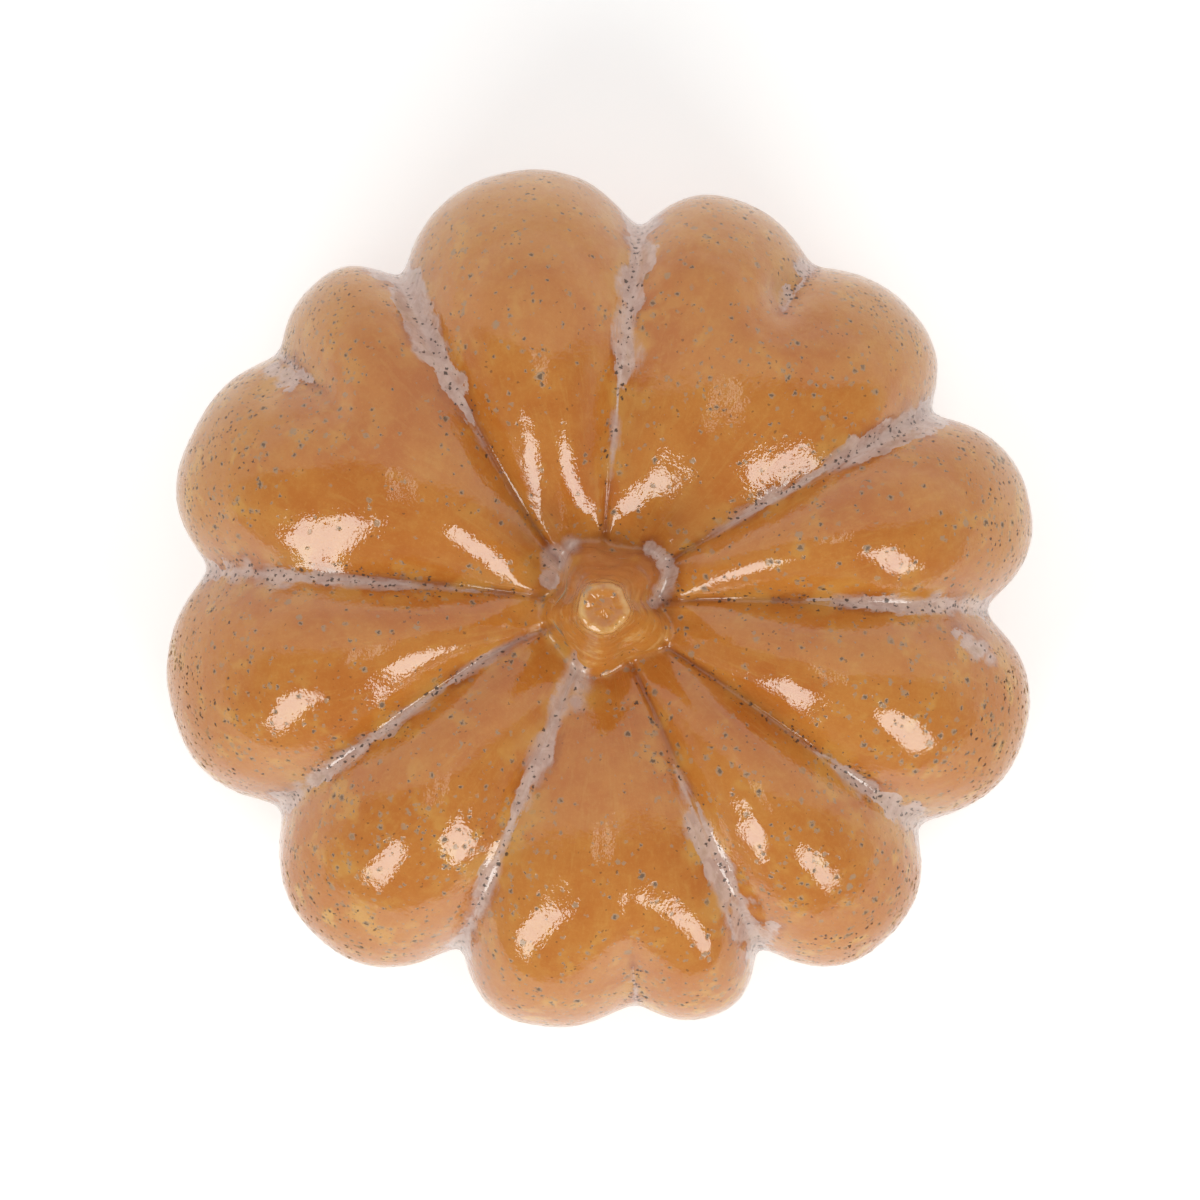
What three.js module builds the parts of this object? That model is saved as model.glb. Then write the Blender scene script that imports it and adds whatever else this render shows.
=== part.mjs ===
// A glazed stoneware pumpkin, hollow, about 200 mm across.
// It is pressed in two half moulds that part at the widest line, joined there with slip, and carries a
// fluted stem on a flat seat in the crown. The foot is a bare flat ring with a drain hole and felt pads.
// Millimetres and degrees, +Z up, origin on the surface it stands on, below the middle of its outline.
import * as THREE from "three";

// The body as a whole
const BODY_RADIUS = 101; // mean reach of the rib crests from the stem's axis, at the widest line
const BODY_HEIGHT = 96; // from the foot to the tops of the ribs
const WIDEST_HEIGHT = 46; // from the foot to the widest line, where the two halves meet
const TOP_RADIUS = 55; // radius of the ring on which the ribs are highest
const CROWN_DEPTH = 15; // from the tops of the ribs down to the stem's seat
const CROWN_ROUNDING = 0.3; // how softly a rib turns over into the crown: 0 is a corner
const FOOT_RADIUS = 66; // where the rib crests run out into the foot
const AXIS_X = 0.8; // the stem's axis stands this far off the middle of the outline
const AXIS_Y = -1.6;

// Creases between the ribs
const CREASE_DEPTH = 12; // at the widest line
const TOP_CREASE_DEPTH = 8.5; // on the ring where the ribs are highest
const TOP_FORK_DEPTH = 6; // there, for the crease that splits a forked rib
const FOOT_CREASE_DEPTH = 4; // how far the foot's outline is drawn in at a crease
const SHARP_CREASE = 0.04; // share of half a rib over which a crease is rounded, at the stem
const SOFT_CREASE = 0.1; // and at the widest line and below
const INNER_CREASE = 0.6; // and inside, where the pressed wall is smoothed by hand
const SECTION_POWER = 2.6; // 2 makes a rib's section a parabola, more makes it squarer

// The ribs, anticlockwise. Each begins at the crease on its clockwise side, whose angle is given at the
// widest line and at the stem. deeper adds to that crease's depth, and proud to a crest's reach. A rib with
// a fork splits in two towards the widest line, at that angle, in a crease of forkDepth that opens there.
const RIBS = [
  { crease: -0.5, atStem: 5, deeper: -0.2, proud: [0.4] },
  { crease: 30.7, atStem: 35, deeper: 0.2, proud: [-2, -2.1], fork: 58.5, forkDepth: 7.8 },
  { crease: 84.5, atStem: 89, deeper: 0.2, proud: [1.7] },
  { crease: 121.5, atStem: 132, deeper: -1.2, proud: [-0.6, 2.4], fork: 142, forkDepth: 5 },
  { crease: 174.3, atStem: 170.5, deeper: -3.3, proud: [1.3] },
  { crease: 211.9, atStem: 200, deeper: 0.2, proud: [-0.2] },
  { crease: 247.2, atStem: 246, deeper: 3, proud: [-2.8, -3.4], fork: 274.7, forkDepth: 8.6 },
  { crease: 294.4, atStem: 296, deeper: 1.3, proud: [0] },
  { crease: 325.3, atStem: 328, deeper: -0.4, proud: [0.5] },
];
const PROUD_RISE = 0.6; // a proud crest also stands this share of its extra reach higher
const FORK_BEGINS = 1.1; // stations, as rail() counts them
const FORK_IS_FULL = 1.55;

// Walls and openings
const WALL = 6.5;
const FLOOR_WALL = 7;
const VENT_RADIUS = 2.5; // lets air out of the hollow stem while it is fired
const DRAIN_RADIUS = 9;
const FOOT_RECESS = 3.5; // how far the middle of the underside is lifted off the foot ring
const RECESS_DRAFT = 2; // how far the recess narrows on its way up

// Stem. Its ridges run out into points round the base, each followed by a flute.
const STEM_HEIGHT = 25;
const STEM_TOP_RADIUS = 6.2;
const STEM_RIDGES = [
  { angle: 38, reach: 16.2, flute: 2.8 },
  { angle: 115, reach: 14.8, flute: 3.4 },
  { angle: 191, reach: 13.2, flute: 1.5 },
  { angle: 258, reach: 14.7, flute: 2.8 },
  { angle: 336, reach: 15.6, flute: 4.8 },
];
const STEM_FLARE = 1.7; // 1 makes the stem a straight cone, more gathers its flare at the base
const STEM_TWIST = 14; // how far its ridges turn on their way up
const TOP_FLUTE = 0.12; // what is left of a flute at the cut end, as a share of its depth at the base
const STEM_EDGE = 1.4; // rounding of the cut end's rim
const DISH_RIM = 2.3; // width of that rim, round the dish in the cut end
const DISH_DEPTH = 0.9;
const DISH_NUB = 0.6; // height of the small rise in the middle of the dish
const STEM_WALL = 2.4; // round the bore that hollows the stem from below
const STEM_ROOF = 9; // over the bore
const BORE_TIP = 2; // height of its pointed end
const SEAT_MARGIN = 0.7; // flat seat left round the stem's ridges

// Felt pads under the foot ring
const PAD_COUNT = 4;
const PAD_RADIUS = 6.5;
const PAD_THICKNESS = 2;
const PAD_MARGIN = 1.5; // bare foot ring on each side of a pad
const PAD_START = 45; // angle of the first pad

// Facets
const RIB_STEPS = 12; // across a plain rib
const FORK_STEPS = 10; // across each half of a forked rib
const CROWN_STEPS = 6;
const SHOULDER_STEPS = 9;
const UNDERSIDE_STEPS = 8;
const INNER_CROWN_STEPS = 3;
const INNER_SHOULDER_STEPS = 6;
const INNER_UNDERSIDE_STEPS = 5;
const FLUTE_STEPS = 6;
const STEM_STEPS = 12;
const EDGE_STEPS = 3;
const PAD_SIDES = 32;

// Heights and radii that follow from the sizes above
const FOOT_Z = PAD_THICKNESS;
const SEAM_Z = FOOT_Z + WIDEST_HEIGHT;
const TOP_Z = FOOT_Z + BODY_HEIGHT;
const SEAT_Z = TOP_Z - CROWN_DEPTH;
const SEAT_RADIUS = Math.max(...STEM_RIDGES.map(({ reach }) => reach)) + SEAT_MARGIN;
const STEM_TOP_Z = SEAT_Z + STEM_HEIGHT;
const BORE_TOP_Z = STEM_TOP_Z - STEM_ROOF;
const BORE_RADIUS = STEM_TOP_RADIUS - STEM_WALL;
const DISH_RADIUS = STEM_TOP_RADIUS - DISH_RIM;
const RECESS_Z = FOOT_Z + FOOT_RECESS;
const FLOOR_Z = RECESS_Z + FLOOR_WALL;
const RECESS_RADIUS = FOOT_RADIUS - FOOT_CREASE_DEPTH - 2 * (PAD_RADIUS + PAD_MARGIN);
const PAD_CIRCLE = RECESS_RADIUS + PAD_MARGIN + PAD_RADIUS;

const RIGHT_ANGLE = Math.PI / 2;
const TURN = 360;
const { degToRad, lerp: mix, smoothstep } = THREE.MathUtils;

// The outer skin of the body, and the inner face of its wall.
const OUTSIDE = {
  inset: 0,
  seatRadius: SEAT_RADIUS,
  seatZ: SEAT_Z,
  footZ: FOOT_Z,
  sharp: SHARP_CREASE,
  soft: SOFT_CREASE,
};
const INSIDE = {
  inset: WALL,
  seatRadius: SEAT_RADIUS,
  seatZ: SEAT_Z - WALL,
  footZ: FLOOR_Z,
  sharp: INNER_CREASE,
  soft: INNER_CREASE,
};

// What the rail along a crest or a crease passes through.
const crest = (proud) => ({
  top: TOP_Z + PROUD_RISE * proud,
  reach: BODY_RADIUS + proud,
  foot: FOOT_RADIUS,
});
const crease = (deeper) => ({
  top: TOP_Z - TOP_CREASE_DEPTH,
  reach: BODY_RADIUS - CREASE_DEPTH - deeper,
  foot: FOOT_RADIUS - FOOT_CREASE_DEPTH,
});
const forkCrease = (depth) => ({
  top: TOP_Z - TOP_FORK_DEPTH,
  reach: BODY_RADIUS - depth,
  foot: FOOT_RADIUS,
});

// A rail runs from the stem to the foot, as [radius, height]. Its stations are 0 at the stem's seat,
// 1 on top of the rib, 2 at the widest line and 3 at the foot.
function rail(station, { top, reach, foot }, face) {
  const outer = reach - face.inset;
  const high = top - face.inset;
  if (station <= 1) {
    const inward = 1 - station;
    const fall =
      (Math.hypot(inward, CROWN_ROUNDING) - CROWN_ROUNDING) /
      (Math.hypot(1, CROWN_ROUNDING) - CROWN_ROUNDING);
    return [mix(TOP_RADIUS, face.seatRadius, inward), mix(high, face.seatZ, fall)];
  }
  if (station <= 2) {
    const angle = (station - 1) * RIGHT_ANGLE;
    return [mix(TOP_RADIUS, outer, Math.sin(angle)), mix(SEAM_Z, high, Math.cos(angle))];
  }
  const angle = (station - 2) * RIGHT_ANGLE;
  return [mix(foot - face.inset, outer, Math.cos(angle)), mix(SEAM_Z, face.footZ, Math.sin(angle))];
}

// A rib's rounded section: 0 in the creases, at across = -1 and 1, and 1 on the crest between them.
function section(across, softness) {
  const fromCrease = 1 - Math.abs(across);
  const rise = (Math.hypot(fromCrease, softness) - softness) / (Math.hypot(1, softness) - softness);
  return 1 - (1 - rise) ** SECTION_POWER;
}

// A point, as [radius, height], on a rib that runs between two creases.
function vault(across, station, left, middle, right, face) {
  const softness = mix(face.sharp, face.soft, Math.min(station / 2, 1));
  const share = section(across, softness);
  const [a, b, c] = [left, middle, right].map((limits) => rail(station, limits, face));
  return [0, 1].map((i) => mix(mix(a[i], c[i], (across + 1) / 2), b[i], share));
}

const turnTo = (from, to) => (to - from + TURN) % TURN;
const average = (values) => values.reduce((sum, value) => sum + value, 0) / values.length;

// Where a fork's crease lies across its rib.
const forkPlace = (rib, next) => (2 * turnTo(rib.crease, rib.fork)) / turnTo(rib.crease, next.crease) - 1;

// The face of one rib, whole towards the stem and split beyond its fork, as [radius, height].
function ribFace(rib, next, across, station, face) {
  const [left, right] = [crease(rib.deeper), crease(next.deeper)];
  const whole = vault(across, station, left, crest(average(rib.proud)), right, face);
  if (rib.fork === undefined) return whole;
  const place = forkPlace(rib, next);
  const split = forkCrease(rib.forkDepth);
  const [first, second] = rib.proud.map(crest);
  const halves =
    across < place
      ? vault((2 * (across + 1)) / (place + 1) - 1, station, left, first, split, face)
      : vault((2 * (across - place)) / (1 - place) - 1, station, split, second, right, face);
  const open = smoothstep(station, FORK_BEGINS, FORK_IS_FULL);
  return [0, 1].map((i) => mix(whole[i], halves[i], open));
}

// A crease swings from its angle at the widest line to its angle at the stem.
const creaseAngle = (rib, station) => mix(rib.crease, rib.atStem, Math.max(0, 1 - station / 2) ** 2);

// The places of facets across a rib, or across one half of it, closest together beside the creases.
const places = (from, to, steps) =>
  Array.from({ length: steps }, (_, i) => mix(from, to, (1 - Math.cos((i / steps) * Math.PI)) / 2));

const COLUMNS = RIBS.flatMap((rib, i) => {
  const next = RIBS[(i + 1) % RIBS.length];
  if (rib.fork === undefined) return places(-1, 1, RIB_STEPS).map((across) => ({ rib, next, across }));
  const fork = forkPlace(rib, next);
  const both = [...places(-1, fork, FORK_STEPS), ...places(fork, 1, FORK_STEPS)];
  return both.map((across) => ({ rib, next, across }));
});

const around = (x, y, radius, angle, z) => [x + radius * Math.cos(angle), y + radius * Math.sin(angle), z];

// The angle about the stem's axis of a column at a station.
function columnAngle({ rib, next, across }, station) {
  const start = creaseAngle(rib, station);
  return degToRad(start + (turnTo(start, creaseAngle(next, station)) * (across + 1)) / 2);
}

// One closed row of points round the body at a station.
function faceRow(station, face) {
  return COLUMNS.map((column) => {
    const [radius, z] = ribFace(column.rib, column.next, column.across, station, face);
    return around(AXIS_X, AXIS_Y, radius, columnAngle(column, station), z);
  });
}

// Round rows with a point for each column: about the stem's axis, and about the middle of the foot.
const ventRow = (z) =>
  COLUMNS.map((column) => around(AXIS_X, AXIS_Y, VENT_RADIUS, columnAngle(column, 0), z));
const footRow = (radius, z) => COLUMNS.map((column) => around(0, 0, radius, columnAngle(column, 3), z));

const stations = (from, to, steps) => Array.from({ length: steps + 1 }, (_, i) => mix(from, to, i / steps));

function fromFacets(rows, ends, index) {
  const geometry = new THREE.BufferGeometry();
  geometry.setAttribute("position", new THREE.Float32BufferAttribute([...rows.flat(), ...ends].flat(), 3));
  geometry.setIndex(index);
  geometry.computeVertexNormals();
  return geometry;
}

// The facets between two rows of points, given the number of the first point in each.
function band(row, nextRow, count) {
  return Array.from({ length: count }, (_, i) => {
    const j = (i + 1) % count;
    const [a, b, c, d] = [row + i, row + j, nextRow + i, nextRow + j];
    return [a, b, d, a, d, c];
  }).flat();
}

// Joins rows into a skin that closes on itself.
function ringSkin(rows) {
  const count = rows[0].length;
  const index = rows.flatMap((_, i) => band(i * count, ((i + 1) % rows.length) * count, count));
  return fromFacets(rows, [], index);
}

// Joins rows into a skin that ends in a point before the first row and another after the last.
function endedSkin(rows, first, last) {
  const count = rows[0].length;
  const total = rows.length * count;
  const index = rows.slice(1).flatMap((_, i) => band(i * count, (i + 1) * count, count));
  for (let i = 0; i < count; i++) {
    const j = (i + 1) % count;
    index.push(total, j, i, total + 1, total - count + i, total - count + j);
  }
  return fromFacets(rows, [first, last], index);
}

function upperShell() {
  const outward = [...stations(2, 1, SHOULDER_STEPS), ...stations(1, 0, CROWN_STEPS).slice(1)];
  const inward = [...stations(0, 1, INNER_CROWN_STEPS), ...stations(1, 2, INNER_SHOULDER_STEPS).slice(1)];
  return ringSkin([
    ...outward.map((station) => faceRow(station, OUTSIDE)),
    ventRow(SEAT_Z),
    ventRow(SEAT_Z - WALL),
    ...inward.map((station) => faceRow(station, INSIDE)),
  ]);
}

function lowerShell() {
  return ringSkin([
    ...stations(2, 3, INNER_UNDERSIDE_STEPS).map((station) => faceRow(station, INSIDE)),
    footRow(DRAIN_RADIUS, FLOOR_Z),
    footRow(DRAIN_RADIUS, RECESS_Z),
    footRow(RECESS_RADIUS - RECESS_DRAFT, RECESS_Z),
    footRow(RECESS_RADIUS, FOOT_Z),
    ...stations(3, 2, UNDERSIDE_STEPS).map((station) => faceRow(station, OUTSIDE)),
  ]);
}

// Places round the stem, from each ridge through its flute to the next ridge.
const FLUTES = STEM_RIDGES.flatMap((ridge, i) => {
  const next = STEM_RIDGES[(i + 1) % STEM_RIDGES.length];
  return Array.from({ length: FLUTE_STEPS }, (_, step) => ({ ridge, next, share: step / FLUTE_STEPS }));
});

const stemAngle = ({ ridge, next, share }, height) =>
  degToRad(ridge.angle + turnTo(ridge.angle, next.angle) * share + STEM_TWIST * height);

// The stem's radius at one of those places, at a height from 0 at the seat to 1 at the cut end.
function stemRadius({ ridge, next, share }, height) {
  const flare = (1 - height) ** STEM_FLARE;
  const round = mix(STEM_TOP_RADIUS, mix(ridge.reach, next.reach, share), flare);
  const flute = 4 * share * (1 - share) * ridge.flute * mix(TOP_FLUTE, 1, flare);
  return round - flute;
}

const stemRow = (height, z, drawnIn) =>
  FLUTES.map((place) =>
    around(AXIS_X, AXIS_Y, stemRadius(place, height) - drawnIn, stemAngle(place, height), z),
  );
const stemCircle = (radius, z, height) =>
  FLUTES.map((place) => around(AXIS_X, AXIS_Y, radius, stemAngle(place, height), z));

function stemSolid() {
  const flank = stations(0, 1, STEM_STEPS).map((height) =>
    stemRow(height, mix(SEAT_Z, STEM_TOP_Z - STEM_EDGE, height), 0),
  );
  const edge = stations(0, RIGHT_ANGLE, EDGE_STEPS)
    .slice(1)
    .map((angle) =>
      stemRow(1, STEM_TOP_Z - STEM_EDGE * (1 - Math.sin(angle)), STEM_EDGE * (1 - Math.cos(angle))),
    );
  const rows = [
    stemCircle(BORE_RADIUS, BORE_TOP_Z - BORE_TIP, 0),
    stemCircle(BORE_RADIUS, SEAT_Z, 0),
    ...flank,
    ...edge,
    stemCircle(DISH_RADIUS, STEM_TOP_Z - DISH_DEPTH, 1),
    stemCircle(DISH_RADIUS / 2, STEM_TOP_Z - DISH_DEPTH + DISH_NUB / 2, 1),
  ];
  const nub = [AXIS_X, AXIS_Y, STEM_TOP_Z - DISH_DEPTH + DISH_NUB];
  return endedSkin(rows, [AXIS_X, AXIS_Y, BORE_TOP_Z], nub);
}

const glaze = (color) => new THREE.MeshStandardMaterial({ color, roughness: 0.15, metalness: 0 });
const felt = new THREE.MeshStandardMaterial({ color: 0x6b5a4a, roughness: 0.95, metalness: 0 });

function named(name, geometry, material) {
  const mesh = new THREE.Mesh(geometry, material);
  mesh.name = name;
  return mesh;
}

const pumpkin = new THREE.Group();
pumpkin.add(named("upper_shell", upperShell(), glaze(0xb9712f)));
pumpkin.add(named("lower_shell", lowerShell(), glaze(0xbd7b3c)));
pumpkin.add(named("stem", stemSolid(), glaze(0xb06a30)));

for (let i = 0; i < PAD_COUNT; i++) {
  const disc = new THREE.CylinderGeometry(PAD_RADIUS, PAD_RADIUS, PAD_THICKNESS, PAD_SIDES);
  const pad = named(`felt_pad_${i + 1}`, disc.rotateX(RIGHT_ANGLE), felt);
  const angle = degToRad(PAD_START + (TURN / PAD_COUNT) * i);
  pad.position.set(...around(0, 0, PAD_CIRCLE, angle, PAD_THICKNESS / 2));
  pumpkin.add(pad);
}

export default pumpkin;
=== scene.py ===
"""The looks of a glazed stoneware pumpkin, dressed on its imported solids.

The body is drawn by the same rails as its solids, finely enough for the uneven surface of pressed clay. It has
a fuller crown, rounder sections on top and softer flutes in the stem.
Lengths are in millimetres, except where a line multiplies by MM, and the frame is in metres.
"""

import math

import bpy
import numpy as np
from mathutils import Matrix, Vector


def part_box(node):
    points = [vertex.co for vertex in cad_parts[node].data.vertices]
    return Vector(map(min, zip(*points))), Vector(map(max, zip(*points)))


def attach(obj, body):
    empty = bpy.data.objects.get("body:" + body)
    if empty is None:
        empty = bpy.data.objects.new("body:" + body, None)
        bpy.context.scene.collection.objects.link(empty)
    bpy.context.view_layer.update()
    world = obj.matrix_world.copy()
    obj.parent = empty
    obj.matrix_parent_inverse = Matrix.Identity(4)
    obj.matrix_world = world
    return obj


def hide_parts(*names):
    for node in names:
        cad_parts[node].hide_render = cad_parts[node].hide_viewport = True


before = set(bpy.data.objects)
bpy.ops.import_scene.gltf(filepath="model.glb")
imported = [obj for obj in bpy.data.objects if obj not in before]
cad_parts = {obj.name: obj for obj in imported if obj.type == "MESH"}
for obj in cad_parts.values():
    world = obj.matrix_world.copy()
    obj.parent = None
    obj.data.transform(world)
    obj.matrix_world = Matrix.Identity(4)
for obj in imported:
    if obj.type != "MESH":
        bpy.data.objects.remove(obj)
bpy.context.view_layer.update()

MM = 0.001
TURN = 2 * math.pi
RIGHT_ANGLE = math.pi / 2


def box_mm(node):
    low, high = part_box(node)
    return np.array(low) / MM, np.array(high) / MM


# Heights that the frame gives
FOOT_Z = box_mm("lower_shell")[0][2]
SEAM_Z = box_mm("upper_shell")[0][2]
STEM_TOP_Z = box_mm("stem")[1][2]
SEAT_Z = box_mm("stem")[0][2]

# The body: outline, wall and foot as in its solids, crown and sections rounder
BODY_RADIUS = 101
TOP_Z = 98
TOP_RADIUS = 55  # of the ring on which the ribs are highest
CROWN_ROUNDING = 2
FOOT_RADIUS = 66
AXIS = np.array([0.8, -1.6])  # where the stem stands, off the middle of the outline
CREASE_DEPTH = 12
TOP_CREASE_DEPTH = 8.5
TOP_FORK_DEPTH = 6
FOOT_CREASE_DEPTH = 4
SHARP_CREASE = 0.04  # how rounded a crease's bottom is, beside the stem
SOFT_CREASE = 0.1  # from the widest line down
INNER_CREASE = 0.6  # and on the inner face
TOP_SECTION_POWER = 2.0  # 2 rounds a rib's section as an arch, and more makes it flatter
RIM_SECTION_POWER = 2.6
PROUD_RISE = 0.6  # how much higher a rib stands for each millimetre that it reaches further out
WALL = 6.5
FLOOR_WALL = 7
VENT_RADIUS = 2.5
DRAIN_RADIUS = 9
DRAIN_CHAMFER = 0.8
FOOT_RECESS = 3.5
RECESS_DRAFT = 2
RECESS_RADIUS = 46
RECESS_LIP = (0.6, 0.5)  # width and height of the slope at the foot ring's inner edge
RECESS_Z = FOOT_Z + FOOT_RECESS
FLOOR_Z = RECESS_Z + FLOOR_WALL

# The stem
STEM_TOP_RADIUS = 6.2
STEM_REACH = 15
FLUTE_DEPTH = 3
# Each ridge's angle, and its reach and the depth of the flute after it in shares of those two
STEM_RIDGES = [(38, 1.08, 0.93), (115, 0.99, 1.13), (191, 0.88, 0.5), (258, 0.98, 0.93), (336, 1.04, 1.6)]
STEM_FLARE = 1.7
STEM_TWIST = 14  # degrees, from the seat to the cut end
TOP_FLUTE = 0.12  # share of a flute's depth that is left at the cut end
STEM_EDGE = 1.4
SEAT_MARGIN = 0.7
SEAT_RADIUS = STEM_REACH * max(reach for _, reach, _ in STEM_RIDGES) + SEAT_MARGIN

# The ribs, anticlockwise: the crease that begins each, at the widest line and at the stem, that crease's
# depth in shares of CREASE_DEPTH, the reach of the crests in shares of BODY_RADIUS, and where and how deeply
# the rib forks, between which stations the fork opens, and the half width of the pool of glaze in it.
RIBS = [
    {"crease": -0.5, "at_stem": 5, "depth": 0.98, "reach": (1.004,)},
    {"crease": 30.7, "at_stem": 35, "depth": 1.02, "reach": (0.98, 0.979),
     "fork": 58.5, "fork_depth": 0.65, "opens": (1.14, 1.42), "fork_pool": 0.3},
    {"crease": 84.5, "at_stem": 89, "depth": 1.02, "reach": (1.017,)},
    {"crease": 121.5, "at_stem": 132, "depth": 0.9, "reach": (0.994, 1.024),
     "fork": 142, "fork_depth": 0.42, "opens": (1.1, 1.5), "fork_pool": 0.8},
    {"crease": 174.3, "at_stem": 170.5, "depth": 0.73, "reach": (1.013,)},
    {"crease": 211.9, "at_stem": 200, "depth": 1.02, "reach": (0.998,)},
    {"crease": 247.2, "at_stem": 246, "depth": 1.25, "reach": (0.972, 0.966),
     "fork": 274.7, "fork_depth": 0.72, "opens": (1.1, 1.55), "fork_pool": 0.2},
    {"crease": 294.4, "at_stem": 296, "depth": 1.11, "reach": (1,)},
    {"crease": 325.3, "at_stem": 328, "depth": 0.97, "reach": (1.005,)},
]

# Where the opaque glaze lies in each crease, in the ribs' order: pairs of radius and half width, how far the
# pool leans off the crease, anticlockwise, and how gritty with pinholes the crease is.
POOLS = [
    {"spans": [(44, 0.1), (50, 1.2), (60, 2.0), (75, 2.5), (88, 2.6)], "lean": 0.6, "grit": 0.9},
    {"spans": [(30, 0.2), (38, 1.5), (47, 1.3), (54, 0.9), (63, 1.6), (69, 3.6), (78, 4.4), (88, 3.6)],
     "lean": 0.3, "grit": 0.7},
    {"spans": [(36, 0.9), (40, 1.1), (45, 0.1), (51, 1.0), (58, 3.2), (67, 3.9), (77, 3.7), (86, 4.6)],
     "lean": -0.4, "grit": 0.6},
    {"spans": [(48, 0.1), (53, 1.4), (60, 2.4), (68, 3.6), (78, 4.6), (88, 5.2)], "lean": 0.5, "grit": 0.5},
    {"spans": [(24, 0.1), (40, 0.5), (46, 1.2), (61, 1.4), (72, 2.3), (94, 2.9)], "lean": 0.9, "grit": 1.0},
    {"spans": [(17, 0.6), (36, 1.4), (52, 1.2), (66, 1.5), (78, 2.4), (90, 3.2)], "lean": 0.4, "grit": 0.9},
    {"spans": [(16, 2.6), (22, 2.0), (30, 1.9), (36, 2.6), (48, 1.4), (60, 1.5), (74, 2.6), (88, 3.0)],
     "lean": 0, "grit": 0.5},
    {"spans": [(40, 0.1), (44, 1.0), (55, 2.4), (66, 3.6), (76, 4.2), (86, 4.6)], "lean": -1.0, "grit": 0.5},
    {"spans": [(58, 0.1), (65, 1.4), (71, 2.8), (78, 3.4), (88, 4.0)], "lean": 0, "grit": 0.8},
]
POOL_BELOW = 0.75  # share of a pool's width that is left at the foot
POOL_TAPER = 0.2  # half width that a pool loses for each millimetre above its first span
POOL_SWELL = [(0.26, 14, 31), (0.14, 6, 32)]  # its unevenness: share, length of wave and seed
NO_POOL = -50.0
CLOSED_FORK = -6  # the pool of a fork before it opens
FORK_LAG = 0.2  # how far after the fork opens its pool begins, in stations
FORK_GRIT = 0.6
# The dark line is painted shade in the crease bottoms, and glaze lying deep
CREASE_SHADE_REACH, FORK_SHADE_REACH = 0.8, 1.1  # reach of the dark line at the bottom
CREASE_PINS, FORK_PINS = 2.0, 2.2  # and of the pinholes beside it
# Pools elsewhere, round the stem and out on the ribs: x and y off the stem's axis, and radius.
STEM_PATCHES = [
    (-7.4, 14.0, 1.8), (-10.6, 10.8, 3.2), (-12.0, 6.4, 2.4),
    (10.4, 13.2, 1.6), (12.2, 12.0, 1.7), (13.6, 10.0, 1.9), (14.8, 7.6, 2.0), (14.2, 5.4, 2.0),
    (12.9, 3.4, 1.9), (11.3, 1.2, 1.4),
    (-5.2, -17.2, 2.4), (-6.0, -21, 1.8),
]
RIB_PATCHES = [
    (79, -5.8, 1.0), (81.5, -7.6, 1.7), (84.2, -9.4, 2.1), (86.8, -11.4, 1.5), (38, -72, 1.6),
    (-71, 51.5, 2.8), (-75, 54, 2.2), (41.4, 71.2, 1.5), (45.5, 77, 2.2),
]

# How finely the skins are drawn
RIB_STEPS = 66
FORK_STEPS = 44
CREASE_GATHER = 0.55  # 0 spaces columns evenly across a rib, 1 gathers them at its creases
SEAT_STEPS = 10
CROWN_STEPS = 46
SHOULDER_STEPS = 76
BELLY_STEPS = 70
INNER_STEPS = 5
FLANK_STEPS = 26


def mix(a, b, share):
    return a + (b - a) * share


def smooth(value, low, high):
    share = np.clip((value - low) / (high - low), 0, 1)
    return share * share * (3 - 2 * share)


def bell(distance, reach):
    """1 in the middle, fading out over about that reach."""
    return np.exp(-(distance / reach) ** 2)


def waves(points, length, seed, count=24):
    """A smooth random field over points, of mean 0 and mean square 1, with waves of about that length."""
    rng = np.random.default_rng(seed)
    directions = rng.normal(size=(count, points.shape[-1]))
    directions /= np.linalg.norm(directions, axis=1, keepdims=True)
    pitches = TURN / length * rng.uniform(0.6, 1.5, count)
    phases = rng.uniform(0, TURN, count)
    field = np.zeros(points.shape[:-1])
    for direction, pitch, phase in zip(directions, pitches, phases):
        field += np.sin(points @ (direction * pitch) + phase)
    return field * math.sqrt(2 / count)


# The body's faces


def turn_to(start, end):
    return (end - start) % 360


def fork_place(rib, following):
    return 2 * turn_to(rib["crease"], rib["fork"]) / turn_to(rib["crease"], following["crease"]) - 1


def places(start, end, steps):
    even = np.arange(steps) / steps
    gathered = (1 - np.cos(even * math.pi)) / 2
    return mix(start, end, mix(even, gathered, CREASE_GATHER))


def make_columns():
    """The columns of the body's skin, one array for each thing that rib_face and column_angle need."""
    found = []
    for i, rib in enumerate(RIBS):
        following = RIBS[(i + 1) % len(RIBS)]
        forked = "fork" in rib
        place = fork_place(rib, following) if forked else 1
        opens, is_open = rib.get("opens", (1, 2))
        if forked:
            across = np.concatenate([places(-1, place, FORK_STEPS), places(place, 1, FORK_STEPS)])
        else:
            across = places(-1, 1, RIB_STEPS)
        shared = {
            "rib": i,
            "start": rib["crease"],
            "start_at_stem": rib["at_stem"],
            "wide": turn_to(rib["crease"], following["crease"]),
            "wide_at_stem": turn_to(rib["at_stem"], following["at_stem"]),
            "depth": rib["depth"],
            "next_depth": following["depth"],
            "reach": sum(rib["reach"]) / len(rib["reach"]),
            "first_reach": rib["reach"][0],
            "second_reach": rib["reach"][-1],
            "forked": float(forked),
            "place": place,
            "fork_depth": rib.get("fork_depth", 0),
            "opens": opens,
            "open": is_open,
        }
        columns = {key: np.full(len(across), value) for key, value in shared.items()}
        found.append({"across": across, **columns})
    return {key: np.concatenate([part[key] for part in found]) for key in found[0]}


COLUMNS = make_columns()
OUTSIDE = {"inset": 0, "seat_z": SEAT_Z, "foot_z": FOOT_Z, "sharp": SHARP_CREASE, "soft": SOFT_CREASE}
INSIDE = {
    "inset": WALL, "seat_z": SEAT_Z - WALL, "foot_z": FLOOR_Z, "sharp": INNER_CREASE, "soft": INNER_CREASE,
}


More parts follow.
